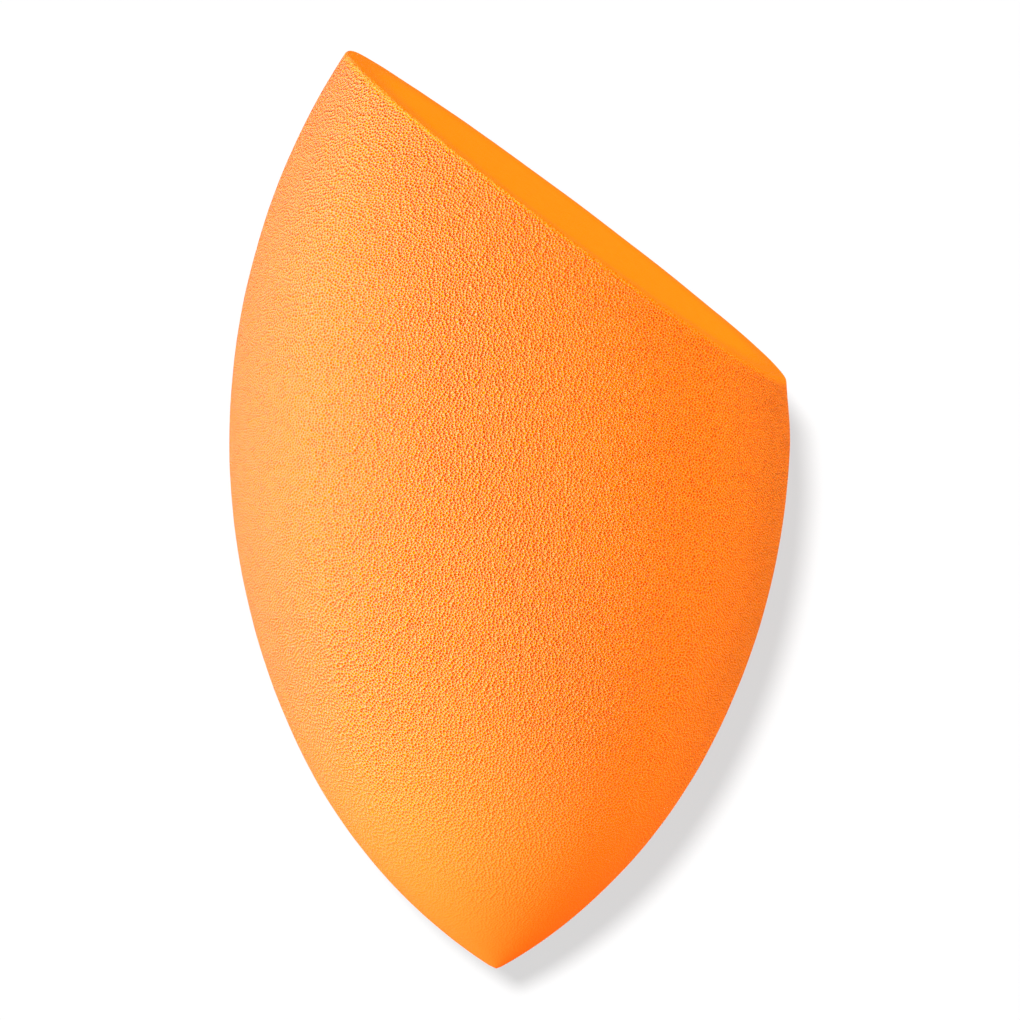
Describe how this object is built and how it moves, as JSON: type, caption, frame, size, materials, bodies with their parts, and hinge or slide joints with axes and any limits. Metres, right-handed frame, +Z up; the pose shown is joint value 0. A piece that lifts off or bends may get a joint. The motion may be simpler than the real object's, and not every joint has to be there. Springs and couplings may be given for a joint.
{
  "type": "makeup sponge",
  "caption": "Egg-shaped foam makeup sponge with a pointed tip and a slanted flat face, lying on its side, for dabbing and blending cosmetics.",
  "frame": {"origin": "middle of the patch where the soft foam flattens on the table, under the sponge as it lies on its side", "axes": "+Z up, -Y towards the pointed tip, and the slanted face looks to +X and +Y; the long axis dips 7.5 degrees towards the tip, as the sponge balances"},
  "size_m": [0.04, 0.0653, 0.04],
  "materials": {
    "foam": "matte, fine-pored soft polyurethane foam, bright orange right through"
  },
  "bodies": {
    "root": {"foam_sponge": "foam"}
  },
  "joints": []
}
